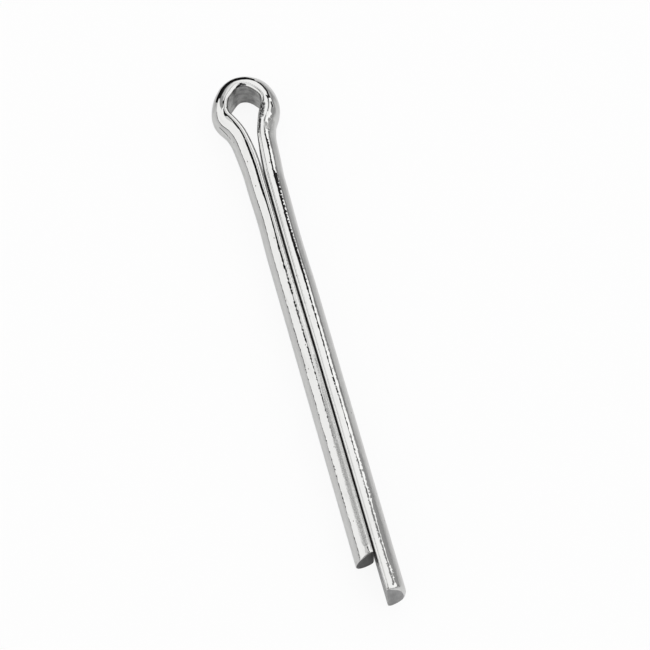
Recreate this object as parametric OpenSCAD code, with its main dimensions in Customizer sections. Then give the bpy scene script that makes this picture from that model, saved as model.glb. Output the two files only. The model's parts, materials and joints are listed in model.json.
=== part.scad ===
// Split cotter pin: one length of half-round wire, bent round into an eye and
// closed so that its two legs lie flat to flat and make up a round shank.
//
// The pin lies on its side, as it does on a bench, with its lowest edges at
// z = 0. X runs along the shank, from the eye to the tips, and Y across the two
// legs. The origin is under the middle of the pin.

/* [Wire] */
// Diameter of the round shank that the two legs make up
shank_d = 2.8; // [2.4:0.1:3.6]
// Slit left between the flats of the two legs
leg_gap = 0.1; // [0.04:0.02:0.2]
// Rounding of the wire's edges, where its flat meets its round back
edge_r = 0.25; // [0.1:0.05:0.35]

/* [Eye] */
// Bore of the eye
eye_bore = 2.5; // [1.6:0.1:4]
// How much thinner the wire is round the eye, where bending has stretched it
eye_thinning = 0.09; // [0.04:0.01:0.3]
// Radius of the two bends that close the eye, measured on the flats
neck_r = 8.4; // [4:0.2:12]
// From the end of the eye to where the pin's length is measured from
head_length = 6.4; // [5:0.2:9]

/* [Legs] */
// Length of the pin, as pins are sold, to the end of the short leg
pin_length = 32; // [16:1:60]
// How far the long leg stands out past the short one
overhang = 3; // [1:0.2:6]

/* [Sheared ends] */
// Lean of the long leg's end: plus leaves its upper side longer, minus its lower
long_lean = -2; // [-6:1:12]
// Lean of the short leg's end
short_lean = 8; // [-6:1:12]
// Skew of the short leg's end, which leaves its round back longer
short_skew = 9; // [0:1:15]

/* [Hidden] */
$fn = 96;
steel = "#b9b9b7";

shank_r = shank_d / 2;
eye_r = eye_bore / 2;
flat_y = leg_gap / 2;                    // each leg's flat, from the shank's axis
leg_wire = shank_r - flat_y;             // the wire from its flat to its back
eye_wire = leg_wire - eye_thinning;
bend_wire = (leg_wire + eye_wire) / 2;
edge_v = sqrt(pow(shank_r - edge_r, 2) - pow(edge_r + flat_y, 2));
half_height = edge_v + edge_r;

// Each stretch of wire ends inside the next, which is larger by tuck all round.
tuck = 0.005;

// The line between the centres of the eye and of a bend crosses their joint.
bend_y = flat_y + tuck + neck_r;
eye_x = -sqrt(pow(eye_r + neck_r - tuck, 2) - pow(bend_y, 2));
bend_angle = atan2(-eye_x, bend_y);
eye_overlap = sqrt(tuck / (eye_r + neck_r)) * 180 / PI;
bend_overlap = 2;

head_x = eye_x - eye_r - eye_wire;
short_x = head_x + head_length + pin_length;
long_x = short_x + overhang;
long_tip = long_x + half_height * tan(abs(long_lean));
middle_x = (head_x + long_tip) / 2;
cut_size = 4 * shank_d;

// Section of the wire: flat on the Y axis, round back towards +X. Its rounded
// edges touch the flat and, from inside, the back.
module half_round(thickness, inset) {
    v = edge_v - inset;
    middle = thickness - edge_r;
    back_r = (v * v + middle * middle - edge_r * edge_r) / (2 * (thickness - 2 * edge_r));
    back_x = thickness - back_r;
    reach = 2 * back_r;
    edge_angle = atan2(v, edge_r - back_x);
    intersection() {
        translate([back_x, 0]) circle(back_r);
        polygon([
            [edge_r, v],
            [0, v],
            [0, -v],
            [edge_r, -v],
            [back_x + reach * cos(edge_angle), -reach * sin(edge_angle)],
            [reach, -reach],
            [reach, reach],
            [back_x + reach * cos(edge_angle), reach * sin(edge_angle)]
        ]);
    }
    for (side = [-1, 1])
        translate([edge_r, side * v]) circle(edge_r);
}

// The eye, with the flat inside, from one bend round to the other.
module eye() {
    sweep = 180 + 2 * bend_angle + 2 * eye_overlap;
    translate([eye_x, 0, 0])
        rotate([0, 0, 180 - sweep / 2])
            rotate_extrude(angle = sweep)
                translate([eye_r, 0]) half_round(eye_wire, 2 * tuck);
}

// One of the two bends that bring the wire from the eye to a leg.
module bend() {
    translate([0, bend_y, 0])
        rotate([0, 0, -90 - bend_angle])
            rotate_extrude(angle = bend_angle + bend_overlap)
                translate([neck_r, 0]) mirror([1, 0]) half_round(bend_wire, tuck);
}

// A parallel leg. Its sheared end leans back below by lean and skews by skew.
module leg(end_x, lean, skew) {
    difference() {
        translate([0, flat_y, 0])
            rotate([90, 0, 90])
                linear_extrude(end_x + shank_r) half_round(leg_wire, 0);
        translate([end_x, shank_r / 2, 0])
            rotate([0, lean, -skew])
                translate([0, -cut_size / 2, -cut_size / 2])
                    cube(cut_size);
    }
}

module cotter_pin() {
    color(steel)
        translate([-middle_x, 0, half_height])
            union() {
                eye();
                bend();
                mirror([0, 1, 0]) bend();
                leg(long_x, long_lean, 0);
                mirror([0, 1, 0]) leg(short_x, short_lean, short_skew);
            }
}

cotter_pin();
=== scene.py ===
"""A split cotter pin of half-round steel wire, lying on its side on a pale table."""

import json
import math

import bmesh
import bpy
from mathutils import Matrix, Vector


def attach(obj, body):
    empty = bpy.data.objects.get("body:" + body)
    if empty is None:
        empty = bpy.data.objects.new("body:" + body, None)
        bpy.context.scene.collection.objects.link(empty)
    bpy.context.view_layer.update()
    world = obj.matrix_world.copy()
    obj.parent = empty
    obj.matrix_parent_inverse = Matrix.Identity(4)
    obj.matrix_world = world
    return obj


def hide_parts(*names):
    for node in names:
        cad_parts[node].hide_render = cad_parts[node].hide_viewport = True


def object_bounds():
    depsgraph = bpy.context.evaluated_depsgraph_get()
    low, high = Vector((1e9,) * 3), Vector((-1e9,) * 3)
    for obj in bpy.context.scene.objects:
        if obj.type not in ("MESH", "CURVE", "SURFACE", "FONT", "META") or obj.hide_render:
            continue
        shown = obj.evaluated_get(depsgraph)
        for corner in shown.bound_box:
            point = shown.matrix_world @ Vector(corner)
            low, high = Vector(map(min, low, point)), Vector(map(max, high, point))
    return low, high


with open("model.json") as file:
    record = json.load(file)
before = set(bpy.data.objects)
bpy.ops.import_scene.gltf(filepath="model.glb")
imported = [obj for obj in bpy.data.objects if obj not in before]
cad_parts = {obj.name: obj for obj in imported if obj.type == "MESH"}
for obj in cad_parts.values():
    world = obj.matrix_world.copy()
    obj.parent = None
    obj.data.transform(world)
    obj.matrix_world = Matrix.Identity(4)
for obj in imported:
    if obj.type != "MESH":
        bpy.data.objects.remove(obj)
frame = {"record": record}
cad_low, cad_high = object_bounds()


# Camera: a long lens, well above the pin, looking from beyond the tips of the
# legs towards the eye and a little across from the short leg's side. It is
# turned slightly about its own axis.
mm = 0.001
pin_length = cad_high.x - cad_low.x
azimuth = math.radians(80.67)
elevation = math.radians(63.95)
roll = math.radians(-6.0)
distance_in_lengths = 5.849
towards_camera = Vector((
    math.sin(azimuth) * math.cos(elevation),
    -math.cos(azimuth) * math.cos(elevation),
    math.sin(elevation),
))
aim = (cad_low + cad_high) / 2 + Vector((-0.08, 1.2, 0)) * mm
camera_data = bpy.data.cameras.new("camera")
camera_data.lens = 193.9
camera_data.sensor_width = 36
camera = bpy.data.objects.new("camera", camera_data)
camera.location = aim + towards_camera * distance_in_lengths * pin_length
level = (-towards_camera).to_track_quat("-Z", "Y").to_matrix()
camera.rotation_euler = (level @ Matrix.Rotation(roll, 3, "Z")).to_euler()
bpy.context.scene.collection.objects.link(camera)
bpy.context.scene.camera = camera


# Studio: a pale table under an even white sky. Long panels parallel to the pin
# stand round it, and the dark gaps between them draw the lines on bright wire.
# Small cards close to the pin shade one stretch of it each.
table_size = 3
table_colour = (0.92, 0.92, 0.92, 1)
table_whiteness = {"Is Camera Ray": 0.91, "Is Glossy Ray": 0.2, "Is Transmission Ray": 0.2}
table_gloss = (0.62, 0.62, 0.62, 1)
table_roughness = 0.3
black = 0.01
panel_radius = 0.6
gap_radius = 0.57
boom_radius = 0.53
far_flag_radius = 0.5
card_radius = 0.11
floor_card_height = 0.00002


def add_node(tree, kind, inputs=(), **settings):
    """A node with its settings made, and each of its inputs linked or set."""
    node = tree.nodes.new(kind)
    for setting, value in settings.items():
        setattr(node, setting, value)
    for socket, value in dict(inputs).items():
        if isinstance(value, bpy.types.NodeSocket):
            tree.links.new(value, node.inputs[socket])
        else:
            node.inputs[socket].default_value = value
    return node


def calculate(tree, operation, *values):
    return add_node(tree, "ShaderNodeMath", enumerate(values), operation=operation).outputs[0]


def bare_material(name):
    """A material with nothing in it yet, its tree, and the socket that its surface goes to."""
    material = bpy.data.materials.new(name)
    material.use_nodes = True
    tree = material.node_tree
    tree.nodes.remove(tree.nodes["Principled BSDF"])
    return material, tree, tree.nodes["Material Output"].inputs["Surface"]


def table_material():
    """White acrylic, which glows evenly, and shines where bright steel mirrors it at a low angle."""
    material, tree, surface = bare_material("white acrylic")
    path = tree.nodes.new("ShaderNodeLightPath").outputs
    glowing = None
    for ray, whiteness in table_whiteness.items():
        share = calculate(tree, "MULTIPLY", path[ray], whiteness)
        glowing = share if glowing is None else calculate(tree, "MAXIMUM", glowing, share)
    diffuse = add_node(tree, "ShaderNodeBsdfDiffuse", {"Color": table_colour})
    glow = add_node(tree, "ShaderNodeEmission", {"Strength": 1})
    white = add_node(tree, "ShaderNodeMixShader",
                     {0: glowing, 1: diffuse.outputs[0], 2: glow.outputs[0]})
    gloss = add_node(tree, "ShaderNodeBsdfGlossy",
                     {"Color": table_gloss, "Roughness": table_roughness})
    slant = add_node(tree, "ShaderNodeLayerWeight", {"Blend": 0.5}).outputs["Facing"]
    shine = calculate(tree, "MULTIPLY", slant, path["Is Glossy Ray"])
    polished = add_node(tree, "ShaderNodeMixShader",
                        {0: shine, 1: white.outputs[0], 2: gloss.outputs[0]})
    tree.links.new(polished.outputs[0], surface)
    return material


def stage_sheet(name, corners, material):
    mesh = bpy.data.meshes.new(name)
    mesh.from_pydata(corners, [], [range(len(corners))])
    mesh.materials.append(material)
    sheet = bpy.data.objects.new(name, mesh)
    bpy.context.scene.collection.objects.link(sheet)
    return sheet


def glow_sheet(name, brightness, corners):
    """A sheet of one even brightness, which the camera doesn't see."""
    material, tree, surface = bare_material(name)
    tree.links.new(add_node(tree, "ShaderNodeEmission", {"Strength": brightness}).outputs[0], surface)
    sheet = stage_sheet(name, corners, material)
    sheet.visible_camera = False
    return sheet


def panel(name, brightness, corners, radius=panel_radius):
    """A sheet round the pin, each corner at an angle across it from overhead and an angle along it."""
    spots = []
    for across, along in corners:
        turn = math.radians(across)
        x = radius * math.tan(math.radians(along))
        spots.append((x, radius * math.sin(turn), radius * math.cos(turn)))
    return glow_sheet(name, brightness, spots)


def long_panel(name, brightness, across_from, across_to, far=-81, near=59, radius=panel_radius):
    """A panel between two angles across the pin, and between two angles along it."""
    corners = [(across_from, far), (across_from, near), (across_to, near), (across_to, far)]
    return panel(name, brightness, corners, radius)


def far_panel(name, brightness, corners):
    """A sheet beyond the eye, each corner turned from the pin's line and raised from the table."""
    spots = []
    for turn, rise in corners:
        out = math.cos(math.radians(rise)) * far_flag_radius
        spots.append((
            -out * math.cos(math.radians(turn)),
            out * math.sin(math.radians(turn)),
            math.sin(math.radians(rise)) * far_flag_radius,
        ))
    return glow_sheet(name, brightness, spots)


table_corners = [(-1, -1, 0), (1, -1, 0), (1, 1, 0), (-1, 1, 0)]
stage_sheet(
    "table",
    [Vector(corner) * table_size + Vector((0, 0, cad_low.z)) for corner in table_corners],
    table_material(),
)

# On the short leg's side, from the table up to overhead
long_panel("left skirting", 0.02, -91.5, -86.5, far=-36)
long_panel("left far foot", 1.15, -91.5, -86.5, far=-56, near=-36)
long_panel("left softbox foot", 1.15, -86.5, -67, far=-56)
long_panel("left softbox", 1.15, -67, -39, far=-47)
long_panel("left far corner", 0.5, -91, -69, near=-56)
panel("left far panel", 0.64, [(-69, -81), (-69, -56), (-67, -47), (-39, -46), (-39, -81)])
panel("left gap", black, [
    (-28.5, -31), (-28.5, -26.8), (-33, -25.5), (-33.2, -23), (-31, -22), (-28, -19.5),
    (-19, -18), (-19, -8), (-42, -8), (-43, -14), (-42, -19), (-41, -22), (-37.3, -23),
    (-38, -25.5), (-39.5, -26.8), (-39.5, -31),
], radius=gap_radius)
long_panel("overhead left", 0.96, -39, -3, far=-45, radius=0.61)
long_panel("overhead left far", 1.0, -39, -3, near=-45)
long_panel("overhead", 1.16, -2, 21)

# On the long leg's side, from overhead down to the table
long_panel("overhead right", 1.18, 21, 61)
long_panel("right far panel", 1.18, 61, 76, near=-29)
panel("right gap", black, [
    (54.5, -31), (54.5, -26.6), (56, -25.7), (57, -23.8), (57.4, -22),
    (62.3, -22), (62.8, -23.8), (63.5, -25.7), (64.5, -26.6), (64.5, -31),
], radius=gap_radius)
panel("right gap foot", 0.3, [
    (52, -22), (51.5, -20), (50.5, -9), (56, -9), (62, -18), (62.3, -22),
], radius=0.572)
long_panel("right softbox", 1.3, 61, 79, far=-29)
long_panel("right far side", 0.6, 76, 91, near=-29)
long_panel("right skirting", 0.27, 79, 91, far=-29)

# A dark boom across the panels, which the eye mirrors as an arc
boom_spots = ((-46, -44), (-30, -41.5), (-15, -36), (0, -31), (9, -28))
half_boom = 2.2
for number, (start, end) in enumerate(zip(boom_spots, boom_spots[1:]), 1):
    panel(f"boom {number}", black, [
        (start[0], start[1] - half_boom), (start[0], start[1] + half_boom),
        (end[0], end[1] + half_boom), (end[0], end[1] - half_boom),
    ], radius=boom_radius)
panel("boom end", 0.38, [
    (-80, -60), (-52, -56), (-47, -50), (-46, -44), (-47, -30), (-54, -36), (-66, -45), (-84, -55),
], radius=boom_radius)
panel("boom bend", 0.06, [(-47, -46), (-41, -44.5), (-40.5, -34), (-46, -35)], radius=0.525)

# Dark flags low down beyond the eye, each edge at a turn, between a lower and an upper rise
far_flag_edges = (
    (-34, 0, 10), (-20, 0, 9), (-5, 0, 5), (8, 0, 3), (25, 0, 5),
    (34, 0, 10.5), (41, 0.5, 13.5), (48.5, 2, 15), (53, 7, 20), (61, 10, 24),
)
for number, (start, end) in enumerate(zip(far_flag_edges, far_flag_edges[1:]), 1):
    far_panel(f"far flag {number}", 0.03, [
        (start[0], start[1]), (start[0], start[2]), (end[0], end[2]), (end[0], end[1]),
    ])

# Cards close to the pin and on the table, which throw no shadow
cards = (
    long_panel("left card", black, -40, -28.5, far=-33, near=-27.2, radius=card_radius),
    long_panel("right card", black, 54, 61.5, far=-33, near=-27.5, radius=card_radius),
    long_panel("arc card", 0.02, 70, 79, far=-37.5, near=-34.5, radius=card_radius),
    long_panel("tip card", 0.8, -43, -26, far=-17.6, near=-5, radius=card_radius),
    panel("tip flag", 0.36, [
        (84, -20.5), (68, -15.5), (68, -11.5), (76, -9), (78, -5), (92, -5), (92, -20.5),
    ], radius=card_radius),
    glow_sheet("floor card", black, [(x, y, floor_card_height) for x, y in (
        (-0.0235, -0.0052), (-0.0235, 0.0012), (-0.027, 0.004),
        (-0.6, 0.28), (-0.6, -0.5), (-0.027, -0.0085),
    )]),
)
for card in cards:
    card.visible_diffuse = card.visible_shadow = False

# A flag across the table beyond the tips, and the dark lens hood
glow_sheet("near flag", 0.3, [(1.05, -0.6, 0), (1.05, 0.6, 0), (1.05, 0.6, 0.9), (1.05, -0.6, 0.9)])
hood_radius = 0.11
hood_distance = 0.33
hood_side = towards_camera.orthogonal().normalized()
glow_sheet("lens hood", 0.02, [
    aim + Matrix.Rotation(math.radians(turn), 3, towards_camera) @ hood_side * hood_radius
    + towards_camera * hood_distance
    for turn in range(0, 360, 15)
])

world = bpy.data.worlds.new("white studio")
world.use_nodes = True
world.node_tree.nodes["Background"].inputs["Color"].default_value = (1, 1, 1, 1)
world.node_tree.nodes["Background"].inputs["Strength"].default_value = 1
bpy.context.scene.world = world
bpy.context.scene.view_settings.view_transform = "Standard"


# Wire: one length of drawn steel, half-round, folded back on itself round a
# mandrel so that the flats of its two legs meet. Bending has drawn the wire a
# little thinner round the eye, and a shear has cut both ends.
pin = frame["record"]["mounts"][0]
shank_r = pin["dims"]["r_mm"] * mm
half_height = (cad_high.z - cad_low.z) / 2
eye_outer = (cad_high.y - cad_low.y) / 2
flat_y = 0.035 * mm
edge_r = 0.25 * mm
eye_thinning = 0.12 * mm
short_neck_r = 7.9 * mm
long_neck_r = 10.0 * mm
overhang = 3.0 * mm
leg_wire = shank_r - flat_y
eye_r = eye_outer - (leg_wire - eye_thinning)
eye_x = cad_low.x + eye_outer
short_bend = math.acos((flat_y + short_neck_r) / (eye_r + short_neck_r))
long_bend = math.acos((flat_y + long_neck_r) / (eye_r + long_neck_r))
long_x = cad_high.x
short_x = long_x - overhang
shear_room = 0.6 * mm
short_leg = short_x - shear_room - eye_x - (eye_r + short_neck_r) * math.sin(short_bend)
long_leg = long_x - shear_room - eye_x - (eye_r + long_neck_r) * math.sin(long_bend)
middle_run = short_leg + short_neck_r * short_bend + eye_r * (math.pi / 2 + short_bend)
leg_spacing = 0.25 * mm
bend_spacing = 0.06 * mm
points_around = 112


def ramp(value, start, end):
    """0 before start, 1 after end, and smooth between them."""
    share = min(max((value - start) / (end - start), 0), 1)
    return share * share * (3 - 2 * share)


def swell(value, middle, reach):
    """1 in the middle, and falling smoothly to 0 at the reach on either side."""
    share = min(abs(value - middle) / reach, 1)
    return (1 - share * share) ** 2


def stray(along):
    """How far the bent wire's flat stands out from its true curve, in mm.

    along is the place in the straight wire, in mm from the middle of the eye. It is below 0 on
    the short leg's side.
    """
    return (
        - 0.2 * swell(along, -1.35, 1.4)
        + 0.075 * swell(along, -5.8, 1.9)
        + 0.095 * swell(along, 6.5, 1.9)
        - 0.03 * swell(along, 2.9, 1.4)
        - 0.08 * swell(along, -0.65, 0.7)
        - 0.08 * swell(along, 1.1, 0.8)
        + 0.03 * swell(along, -16.0, 8.0)
        - 0.03 * swell(along, 16.0, 8.0)
    )


def thickness(along):
    """The wire's thickness in mm: thinner round the eye, and swollen where the dies stopped."""
    return (
        1.23
        + 0.08 * swell(along, -0.65, 0.7)
        + 0.08 * swell(along, 1.1, 0.8)
        + 0.135 * ramp(abs(along), 2.6, 6.8)
        + 0.07 * swell(along, -2.7, 0.9)
        + 0.04 * swell(along, 0.9, 0.9)
        + 0.14 * swell(along, 2.85, 1.1)
        - 0.05 * swell(along, -11.5, 3.0)
        - 0.06 * swell(along, 13.3, 4.5)
        - 0.03 * swell(along, -16.0, 8.0)
        + 0.03 * swell(along, 16.0, 8.0)
    )


def wire_path():
    """A curve along the flat of the wire, from the short leg round the eye to the long leg.

    Each stretch has its length, its turn to the right and the spacing of its points. The radius
    at each point is the wire's thickness there.
    """
    eye_turn = math.pi + short_bend + long_bend
    stretches = (
        (short_leg, 0, leg_spacing),
        (short_neck_r * short_bend, -short_bend, bend_spacing),
        (eye_r * eye_turn, eye_turn, bend_spacing),
        (long_neck_r * long_bend, -long_bend, bend_spacing),
        (long_leg, 0, leg_spacing),
    )
    place = Vector((short_x - shear_room, -flat_y, half_height))
    heading = math.pi
    along = -middle_run / mm
    points = [(place.copy(), heading, along)]
    for length, turn, spacing in stretches:
        steps = math.ceil(length / spacing)
        bow = turn / steps / 2
        chord = length / steps * (math.sin(bow) / bow if bow else 1)
        for _ in range(steps):
            heading -= bow
            place += Vector((math.cos(heading), math.sin(heading), 0)) * chord
            heading -= bow
            along += length / steps / mm
            points.append((place.copy(), heading, along))
    curve = bpy.data.curves.new("wire path", "CURVE")
    curve.dimensions = "3D"
    spline = curve.splines.new("POLY")
    spline.points.add(len(points) - 1)
    for point, (spot, heading, along) in zip(spline.points, points):
        out = Vector((-math.sin(heading), math.cos(heading), 0))
        point.co = (*(spot + out * stray(along) * mm), 1)
        point.radius = thickness(along) * mm
    return curve


def calculate_vector(tree, operation, *values):
    return add_node(tree, "ShaderNodeVectorMath", enumerate(values), operation=operation).outputs[0]


def scale_vector(tree, vector, scale):
    return add_node(tree, "ShaderNodeVectorMath", {0: vector, "Scale": scale},
                    operation="SCALE").outputs[0]


def wire_tree(steel):
    """Sweeps the half-round section along its path, noting each point's place in the straight wire."""
    tree = bpy.data.node_groups.new("half-round wire", "GeometryNodeTree")
    sockets = (
        ("Path", "NodeSocketGeometry"),
        ("Points Around", "NodeSocketInt"),
        ("Half Height", "NodeSocketFloat"),
        ("Edge Radius", "NodeSocketFloat"),
        ("Middle of Eye", "NodeSocketFloat"),
    )
    for name, kind in sockets:
        tree.interface.new_socket(name, in_out="INPUT", socket_type=kind)
    tree.interface.new_socket("Wire", in_out="OUTPUT", socket_type="NodeSocketGeometry")
    given = tree.nodes.new("NodeGroupInput").outputs

    # What each point of the path and of the section carries into the sweep
    position = tree.nodes.new("GeometryNodeInputPosition").outputs[0]
    carried = (
        ("FLOAT", "run", tree.nodes.new("GeometryNodeSplineParameter").outputs["Length"]),
        ("FLOAT", "thickness", tree.nodes.new("GeometryNodeInputRadius").outputs[0]),
        ("VECTOR", "heading", tree.nodes.new("GeometryNodeInputTangent").outputs[0]),
        ("VECTOR", "place", position),
    )
    path = add_node(tree, "GeometryNodeCaptureAttribute", {"Geometry": given["Path"]})
    for kind, name, source in carried:
        path.capture_items.new(kind, name)
        tree.links.new(source, path.inputs[name])
    circle = add_node(tree, "GeometryNodeCurvePrimitiveCircle",
                      {"Resolution": given["Points Around"], "Radius": 1.0})
    ring = add_node(tree, "GeometryNodeCaptureAttribute", {"Geometry": circle.outputs["Curve"]})
    ring.capture_items.new("VECTOR", "around")
    tree.links.new(position, ring.inputs["around"])
    swept = add_node(tree, "GeometryNodeCurveToMesh",
                     {"Curve": path.outputs["Geometry"], "Profile Curve": ring.outputs["Geometry"]})

    # The round back touches both rounded edges, whose centres lie inside the flat
    edge = given["Edge Radius"]
    reach = calculate(tree, "SUBTRACT", given["Half Height"], edge)
    thick = path.outputs["thickness"]
    depth = calculate(tree, "SUBTRACT", thick, edge)
    squares = calculate(tree, "SUBTRACT",
                        calculate(tree, "ADD", calculate(tree, "MULTIPLY", reach, reach),
                                  calculate(tree, "MULTIPLY", depth, depth)),
                        calculate(tree, "MULTIPLY", edge, edge))
    back_r = calculate(tree, "DIVIDE", squares,
                       calculate(tree, "MULTIPLY", calculate(tree, "SUBTRACT", depth, edge), 2.0))
    back_y = calculate(tree, "SUBTRACT", thick, back_r)
    inner_r = calculate(tree, "SUBTRACT", back_r, edge)
    edge_angle = calculate(tree, "ARCTAN2", reach, calculate(tree, "SUBTRACT", edge, back_y))
    around = add_node(tree, "ShaderNodeSeparateXYZ", {0: ring.outputs["around"]})
    angle = calculate(tree, "ARCTAN2", around.outputs["Y"], around.outputs["X"])
    back_angle = calculate(tree, "MAXIMUM", calculate(tree, "MINIMUM", angle, edge_angle),
                           calculate(tree, "MULTIPLY", edge_angle, -1.0))

    def on_section(function, start):
        back = calculate(tree, "MULTIPLY_ADD", inner_r, calculate(tree, function, back_angle), start)
        return calculate(tree, "MULTIPLY_ADD", edge, calculate(tree, function, angle), back)

    from_flat = on_section("COSINE", back_y)
    height = on_section("SINE", 0.0)

    # Each point goes out from the path by its depth, and up by its height
    outward = calculate_vector(tree, "CROSS_PRODUCT", (0.0, 0.0, 1.0), path.outputs["heading"])
    out = scale_vector(tree, outward, from_flat)
    rise = add_node(tree, "ShaderNodeCombineXYZ", {"Z": height}).outputs[0]
    away = calculate_vector(tree, "ADD", out, rise)
    spot = calculate_vector(tree, "ADD", path.outputs["place"], away)
    shaped = add_node(tree, "GeometryNodeSetPosition",
                      {"Geometry": swept.outputs["Mesh"], "Position": spot})

    # The steel's grain and marks follow this note, in mm
    along = calculate(tree, "SUBTRACT", path.outputs["run"], given["Middle of Eye"])
    straight = add_node(tree, "ShaderNodeCombineXYZ", {"X": along, "Y": from_flat, "Z": height})
    noted = add_node(tree, "GeometryNodeStoreNamedAttribute",
                     {"Geometry": shaped.outputs["Geometry"], "Name": "straight wire"},
                     data_type="FLOAT_VECTOR", domain="POINT")
    tree.links.new(scale_vector(tree, straight.outputs[0], 1 / mm), noted.inputs["Value"])
    smooth = add_node(tree, "GeometryNodeSetShadeSmooth", {"Geometry": noted.outputs["Geometry"]})
    whole = add_node(tree, "GeometryNodeRealizeInstances", {"Geometry": smooth.outputs["Geometry"]})
    coated = add_node(tree, "GeometryNodeSetMaterial",
                      {"Geometry": whole.outputs["Geometry"], "Material": steel})
    end = tree.nodes.new("NodeGroupOutput")
    tree.links.new(coated.outputs["Geometry"], end.inputs["Wire"])
    return tree


def sweep_wire(steel):
    """The wire as a plain mesh, open at its two ends."""
    maker = bpy.data.objects.new("wire path", wire_path())
    bpy.context.scene.collection.objects.link(maker)
    sweep = maker.modifiers.new("half-round wire", "NODES")
    sweep.node_group = wire_tree(steel)
    sizes = {
        "Points Around": points_around,
        "Half Height": half_height,
        "Edge Radius": edge_r,
        "Middle of Eye": middle_run,
    }
    for socket in sweep.node_group.interface.items_tree:
        if socket.name in sizes:
            sweep[socket.identifier] = sizes[socket.name]
    maker.update_tag()
    depsgraph = bpy.context.evaluated_depsgraph_get()
    mesh = bpy.data.meshes.new_from_object(maker.evaluated_get(depsgraph))
    bpy.data.objects.remove(maker)
    return mesh


# The wire's surface: the drawn back is nearly a mirror, the flat side is duller, and the bending tools
# have rubbed and scuffed both. A few dark strokes among the marks are painted shade and a painted
# reflection.
line_depth = 0.003
grain_depth = 0.011
pit_depth = 0.012
mark_depth = 0.01
streak_depth = 0.02


def surface_group(name, outputs):
    """A shader node group that works from a place in the straight wire, in mm."""
    tree = bpy.data.node_groups.new(name, "ShaderNodeTree")
    tree.interface.new_socket("Place", in_out="INPUT", socket_type="NodeSocketVector")
    for output in outputs:
        tree.interface.new_socket(output, in_out="OUTPUT", socket_type="NodeSocketFloat")
    place = tree.nodes.new("NodeGroupInput").outputs["Place"]
    return tree, place, tree.nodes.new("NodeGroupOutput").inputs


def noise(tree, place, stretch, scale, detail=2.0, roughness=0.5):
    """Noise that is drawn out along each axis whose stretch is below 1."""
    return add_node(tree, "ShaderNodeTexNoise", {
        "Vector": calculate_vector(tree, "MULTIPLY", place, stretch),
        "Scale": scale, "Detail": detail, "Roughness": roughness,
    }).outputs[0]


def grade(tree, value, start, end, low=0.0, high=1.0, interpolation="SMOOTHSTEP"):
    """low where the value is at start or before it, high at end or after it, and graded between."""
    return add_node(tree, "ShaderNodeMapRange", {
        "Value": value, "From Min": start, "From Max": end, "To Min": low, "To Max": high,
    }, interpolation_type=interpolation).outputs[0]


def steel_grain():
    """How drawn and bent wire varies over its surface.

    Height is in mm. Flat is 1 on the flat side and 0 on the round back. Wear is 1 where the steel
    is dull or stained, and Pits is 1 in each pit. Mottle is 1 where the flat side is brightest.
    """
    tree, place, given = surface_group("steel grain", ("Height", "Flat", "Wear", "Pits", "Mottle"))
    axes = add_node(tree, "ShaderNodeSeparateXYZ", {0: place}).outputs
    from_eye = calculate(tree, "ABSOLUTE", axes["X"])

    # The flat side, which the rolls left duller than the drawn back
    flat = grade(tree, axes["Y"], 0.0, 0.03, 1.0, 0.0)

    # Fine lines along the wire from the drawing die, and a grain that comes and goes
    lines = noise(tree, place, (0.04, 1.0, 1.0), 6.0, detail=0.0)
    grain = noise(tree, place, (0.7, 1.0, 1.0), 7.0, detail=0.0)
    from_neck = calculate(tree, "ABSOLUTE", calculate(tree, "ADD", axes["X"], 6.0))
    patches = grade(tree, noise(tree, place, (0.5, 1.0, 1.0), 0.9), 0.35, 0.7, 0.3, 0.8)
    patches = calculate(tree, "MULTIPLY", patches, grade(tree, from_neck, 3.0, 9.0, 0.5, 1.0))
    patches = calculate(tree, "MULTIPLY", patches, grade(tree, from_eye, 12.0, 28.0, 0.45, 1.1))
    line_height = calculate(tree, "MULTIPLY_ADD", flat, -0.8 * line_depth, line_depth)
    height = calculate(tree, "MULTIPLY", lines, line_height)
    patchy_grain = calculate(tree, "MULTIPLY", grain, patches)
    height = calculate(tree, "MULTIPLY_ADD", patchy_grain, grain_depth, height)

    # Pits and nicks, short along the wire
    cells = add_node(tree, "ShaderNodeTexVoronoi", {
        "Vector": calculate_vector(tree, "MULTIPLY", place, (0.7, 1.0, 1.0)), "Scale": 1.5,
    }).outputs["Distance"]
    pits = grade(tree, cells, 0.03, 0.075, 1.0, 0.0)
    height = calculate(tree, "MULTIPLY_ADD", pits, -pit_depth, height)
    stains = noise(tree, place, (0.25, 1.0, 1.0), 1.6, detail=4.0, roughness=0.65)
    wear = grade(tree, stains, 0.45, 0.75)

    # Mottling of the flat side, brighter where the mandrel pressed it at the two sides of the eye
    mottle = grade(tree, noise(tree, place, (0.8, 1.0, 1.0), 2.2, detail=3.0), 0.3, 0.7, 0.0, 0.5)
    mottle = calculate(tree, "ADD", mottle, grade(tree, from_eye, 0.6, 1.7, 0.0, 0.7))
    mottle = calculate(tree, "MULTIPLY", mottle, grade(tree, from_eye, 2.8, 4.5, 1.0, 0.0))
    made = {"Height": height, "Flat": flat, "Wear": wear, "Pits": pits, "Mottle": mottle}
    for name, value in made.items():
        tree.links.new(value, given[name])
    return tree


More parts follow.
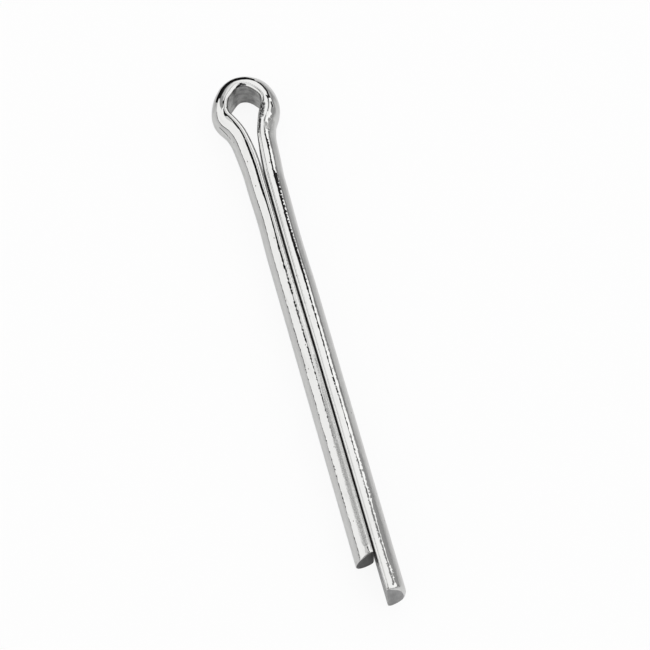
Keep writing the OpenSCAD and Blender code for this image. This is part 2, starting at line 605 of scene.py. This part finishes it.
# Each stroke's start and end in the straight wire, its half width, its
# strength, and whether it is broken up. Lengths are in mm. A stroke keeps its
# full strength over the inner share of its half width, and fades past it.
full_share = 0.4
mark_strokes = {
    "Dark": (
        ((-2.76, 1.18, 0.58), (-3.75, 1.16, 0.50), 0.06, 0.8, False),
        ((-3.88, 1.15, 0.54), (-4.19, 1.15, 0.57), 0.06, 0.55, False),
        # This stroke along the top edge of the flat on the short neck is painted shade where the flat
        # meets the seam in the bend.
        ((-2.70, 0.04, 1.26), (-5.60, 0.03, 1.24), 0.07, 0.75, False),
        ((-0.36, 0.02, 1.23), (-0.06, 0.10, 1.31), 0.11, 1.0, False),
        ((-0.10, 0.11, 1.31), (0.22, 0.07, 1.28), 0.07, 1.0, False),
        ((2.06, 0.75, 1.12), (2.21, 0.88, 1.03), 0.09, 1.0, False),
        ((4.07, 0.71, 1.14), (4.20, 0.80, 1.07), 0.12, 0.7, True),
        # These two broken-up strokes at the inner top edge of the long leg's neck are a painted
        # reflection of a dark boom, not tool marks.
        ((2.30, 0.22, 1.35), (3.20, 0.26, 1.36), 0.24, 1.0, True),
        ((3.20, 0.20, 1.35), (4.60, 0.10, 1.31), 0.13, 0.8, True),
        ((3.80, 0.62, 1.21), (4.15, 0.68, 1.17), 0.18, 0.65, True),
        ((-23.0, 0.17, 1.35), (-29.0, 0.25, 1.35), 0.10, 0.5, True),
        ((-25.5, 0.22, 1.35), (-31.0, 0.29, 1.35), 0.18, 0.4, True),
        ((-28.5, 0.29, 1.35), (-37.4, 0.36, 1.34), 0.28, 0.35, True),
        ((-36.0, 0.32, 1.34), (-36.2, 0.32, 1.34), 0.09, 0.7, False),
        ((-36.8, 0.28, 1.35), (-37.0, 0.28, 1.35), 0.07, 0.7, False),
    ),
    "Dull": (
        ((3.45, 0.97, 0.88), (4.05, 0.80, 1.08), 0.25, 1.0, False),
        ((3.45, 1.10, 0.70), (4.30, 1.00, 0.85), 0.25, 0.7, True),
        ((-24.5, 0.20, 1.35), (-29.0, 0.30, 1.35), 0.14, 0.5, True),
        ((-26.5, 0.29, 1.35), (-32.0, 0.35, 1.34), 0.24, 0.7, True),
        ((-29.5, 0.34, 1.35), (-37.3, 0.42, 1.32), 0.31, 0.8, True),
    ),
    "Pale": (
        ((3.22, 0.82, 1.08), (3.28, 1.00, 0.88), 0.04, 0.8, False),
        ((4.33, 0.70, 1.15), (4.37, 0.88, 1.00), 0.05, 0.8, False),
    ),
}


def tool_marks_with_painted_shade_and_reflection():
    """Marks on the wire, each 1 in its middle: dark, scuffed dull or burnished pale. The dark ones are
    the bending tools' rubbing, with some painted shade and a painted reflection among them.
    """
    tree, place, given = surface_group("tool marks with painted shade and reflection", mark_strokes)
    speckle = noise(tree, place, (1.0, 1.0, 1.0), 9.0, detail=1.0)
    speckle = grade(tree, speckle, 0.36, 0.5, low=0.3, interpolation="LINEAR")

    def stroke(start, finish, half_width, strength, broken_up):
        line = Vector(finish) - Vector(start)
        from_start = calculate_vector(tree, "SUBTRACT", place, start)
        share = add_node(tree, "ShaderNodeVectorMath",
                         {0: from_start, 1: tuple(line / line.length_squared)},
                         operation="DOT_PRODUCT").outputs["Value"]
        share = add_node(tree, "ShaderNodeClamp", {"Value": share}).outputs[0]
        nearest = scale_vector(tree, tuple(line), share)
        away = add_node(tree, "ShaderNodeVectorMath", {0: from_start, 1: nearest},
                        operation="DISTANCE").outputs["Value"]
        mark = grade(tree, away, half_width * full_share, half_width, strength, 0.0)
        return calculate(tree, "MULTIPLY", mark, speckle) if broken_up else mark

    for name, (first, *others) in mark_strokes.items():
        total = stroke(*first)
        for other in others:
            total = calculate(tree, "MAXIMUM", total, stroke(*other))
        tree.links.new(total, given[name])
    return tree


def mix_colours(tree, share, plain, changed):
    return add_node(tree, "ShaderNodeMix", {0: share, 6: plain, 7: changed},
                    data_type="RGBA").outputs[2]


def metal(name):
    """A metal, its tree, its shader's sockets, and the place in the straight wire it works from."""
    material = bpy.data.materials.new(name)
    material.use_nodes = True
    tree = material.node_tree
    shader = tree.nodes["Principled BSDF"].inputs
    shader["Metallic"].default_value = 1
    place = add_node(tree, "ShaderNodeAttribute", attribute_name="straight wire").outputs["Vector"]
    return material, tree, shader, place


def drawn_steel():
    """Bright drawn steel: the back is nearly a mirror, and the flat side is duller and darker."""
    material, tree, shader, place = metal("drawn steel")
    grain = add_node(tree, "ShaderNodeGroup", {"Place": place}, node_tree=steel_grain()).outputs
    marks = add_node(tree, "ShaderNodeGroup", {"Place": place}, node_tree=tool_marks_with_painted_shade_and_reflection()).outputs
    stained = calculate(tree, "MULTIPLY", grain["Wear"], 0.25)
    back = mix_colours(tree, stained, (0.73, 0.73, 0.72, 1), (0.48, 0.47, 0.46, 1))
    flat = mix_colours(tree, grain["Mottle"], (0.3, 0.3, 0.3, 1), (0.9, 0.9, 0.89, 1))
    colour = mix_colours(tree, grain["Flat"], back, flat)
    # The near-black of the dark marks holds painted shade and a painted reflection as well as rubbed
    # tool marks.
    for mask, changed in (
        (grain["Pits"], (0.2, 0.19, 0.18, 1)),
        (marks["Dark"], (0.04, 0.04, 0.04, 1)),
        (marks["Dull"], (0.55, 0.55, 0.54, 1)),
        (marks["Pale"], (0.92, 0.92, 0.91, 1)),
    ):
        colour = mix_colours(tree, mask, colour, changed)
    tree.links.new(colour, shader["Base Color"])
    rough = calculate(tree, "MULTIPLY_ADD", grain["Wear"], 0.04, 0.02)
    rough = calculate(tree, "MULTIPLY_ADD", grain["Flat"], 0.22, rough)
    scuffed = calculate(tree, "MAXIMUM", marks["Dull"], marks["Pale"])
    tree.links.new(calculate(tree, "MULTIPLY_ADD", scuffed, 0.35, rough), shader["Roughness"])
    height = calculate(tree, "MULTIPLY_ADD", marks["Dark"], -mark_depth, grain["Height"])
    bump = add_node(tree, "ShaderNodeBump", {"Height": height, "Distance": mm})
    tree.links.new(bump.outputs[0], shader["Normal"])
    return material


def shear_grain():
    """How a sheared face is mottled, and streaked down its height. Height is in mm."""
    tree, place, given = surface_group("shear grain", ("Mottle", "Height"))
    mottle = noise(tree, place, (1.0, 1.0, 0.8), 1.3, detail=3.0)
    tree.links.new(grade(tree, mottle, 0.3, 0.7, interpolation="LINEAR"), given["Mottle"])
    streaks = noise(tree, place, (1.0, 1.0, 0.15), 7.0)
    tree.links.new(calculate(tree, "MULTIPLY", streaks, streak_depth), given["Height"])
    return tree


def sheared_steel(name, face_grain, dark, pale):
    """The dull face that the shear left on one leg, from its darkest grey to its palest."""
    material, tree, shader, place = metal(name)
    grain = add_node(tree, "ShaderNodeGroup", {"Place": place}, node_tree=face_grain).outputs
    shade = mix_colours(tree, grain["Mottle"], (dark, dark, dark, 1), (pale, pale, pale, 1))
    tree.links.new(shade, shader["Base Color"])
    shader["Roughness"].default_value = 0.42
    bump = add_node(tree, "ShaderNodeBump", {"Height": grain["Height"], "Distance": mm})
    tree.links.new(bump.outputs[0], shader["Normal"])
    return material


# The wire's two ends: the shear drew their rims over on one side before it
# parted them, and left faces that lean and are skewed.
rounding_steps = 6
face_steps = 8


def open_rings(bm):
    """The loops of points round the wire's open ends, the short leg's first."""
    edges = dict.fromkeys(edge for edge in bm.edges if edge.is_boundary)
    rings = []
    while edges:
        edge = next(iter(edges))
        edges.pop(edge)
        start, vert = edge.verts
        ring = [start, vert]
        while vert is not start:
            edge = next(e for e in vert.link_edges if e in edges)
            edges.pop(edge)
            vert = edge.other_vert(vert)
            ring.append(vert)
        rings.append(ring[:-1])
    return sorted(rings, key=lambda ring: ring[0].co.y)


def shear_end(bm, ring, facing, end_x, lean, skew, rollover, finish):
    """Closes an end of the wire with the face that the shear left.

    facing is 1 where the straight wire runs towards this end and -1 where it runs from it. The
    face goes through end_x on the leg's axis. rollover gives the rounding of its rim for a
    direction across the wire.
    """
    straight = bm.verts.layers.float_vector["straight wire"]
    count = len(ring)
    centre = sum((vert.co for vert in ring), Vector()) / count
    slope = Vector((0, math.tan(skew), math.tan(lean)))
    outward = []
    for index in range(count):
        tangent = ring[(index + 1) % count].co - ring[index - 1].co
        outward.append(Vector((0, tangent.z, -tangent.y)).normalized())
    away = sum(normal.dot(vert.co - centre) for normal, vert in zip(outward, ring))
    if away < 0:
        outward = [-normal for normal in outward]
    start_along = ring[0][straight].x - facing * ring[0].co.x / mm

    def new_point(y, z, back=0.0):
        """A point that lies back from the face, and notes its place in the straight wire."""
        x = end_x - slope.y * (y - centre.y) - slope.z * (z - half_height) - back
        point = bm.verts.new((x, y, z))
        point[straight] = (
            start_along + facing * x / mm, (abs(y) - flat_y) / mm, (z - half_height) / mm,
        )
        return point

    rings = [ring]
    for step in range(rounding_steps + 1):
        turn = math.pi / 2 * step / rounding_steps
        rounded = []
        for vert, normal in zip(ring, outward):
            radius = rollover(normal)
            inset = vert.co - normal * radius * (1 - math.cos(turn))
            rounded.append(new_point(inset.y, inset.z, radius * (1 - math.sin(turn))))
        rings.append(rounded)
    rim = rings[-1]
    for step in range(1, face_steps):
        inner = [vert.co.yz.lerp(centre.yz, step / face_steps) for vert in rim]
        rings.append([new_point(y, z) for y, z in inner])
    middle = new_point(centre.y, centre.z)
    for number, (outer, inner) in enumerate(zip(rings, rings[1:])):
        for index in range(count):
            following = (index + 1) % count
            face = bm.faces.new((outer[index], outer[following], inner[following], inner[index]))
            face.smooth = True
            face.material_index = finish if number > rounding_steps else 0
    for index in range(count):
        face = bm.faces.new((rings[-1][index], rings[-1][(index + 1) % count], middle))
        face.smooth = True
        face.material_index = finish


def short_rollover(out):
    return (0.04 + 0.14 * ramp(out.z, 0.6, 1.0)) * mm


def long_rollover(out):
    return (0.03 + 0.25 * ramp(out.y * 0.85 + out.z * 0.5, 0.3, 1.0)) * mm


wire_mesh = sweep_wire(drawn_steel())
face_grain = shear_grain()
# The short leg's face gets much darker greys than the long leg's. This is painted shade, because that
# face looks down into shadow; both ends are the same sheared steel.
wire_mesh.materials.append(sheared_steel("sheared steel of the short leg with painted shade", face_grain, 0.07, 0.16))
wire_mesh.materials.append(sheared_steel("sheared steel of the long leg", face_grain, 0.3, 0.46))
bm = bmesh.new()
bm.from_mesh(wire_mesh)
short_ring, long_ring = open_rings(bm)
shear_end(bm, short_ring, facing=-1, end_x=short_x - 0.04 * mm,
          lean=math.radians(-5), skew=math.radians(17), rollover=short_rollover, finish=1)
shear_end(bm, long_ring, facing=1, end_x=long_x - 0.085 * mm,
          lean=math.radians(3), skew=math.radians(1), rollover=long_rollover, finish=2)
bmesh.ops.recalc_face_normals(bm, faces=bm.faces)
bm.to_mesh(wire_mesh)
bm.free()
wire_mesh.name = "cotter pin wire"
wire = bpy.data.objects.new("cotter_pin_wire", wire_mesh)
bpy.context.scene.collection.objects.link(wire)
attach(wire, "root")
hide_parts("cotter_pin")
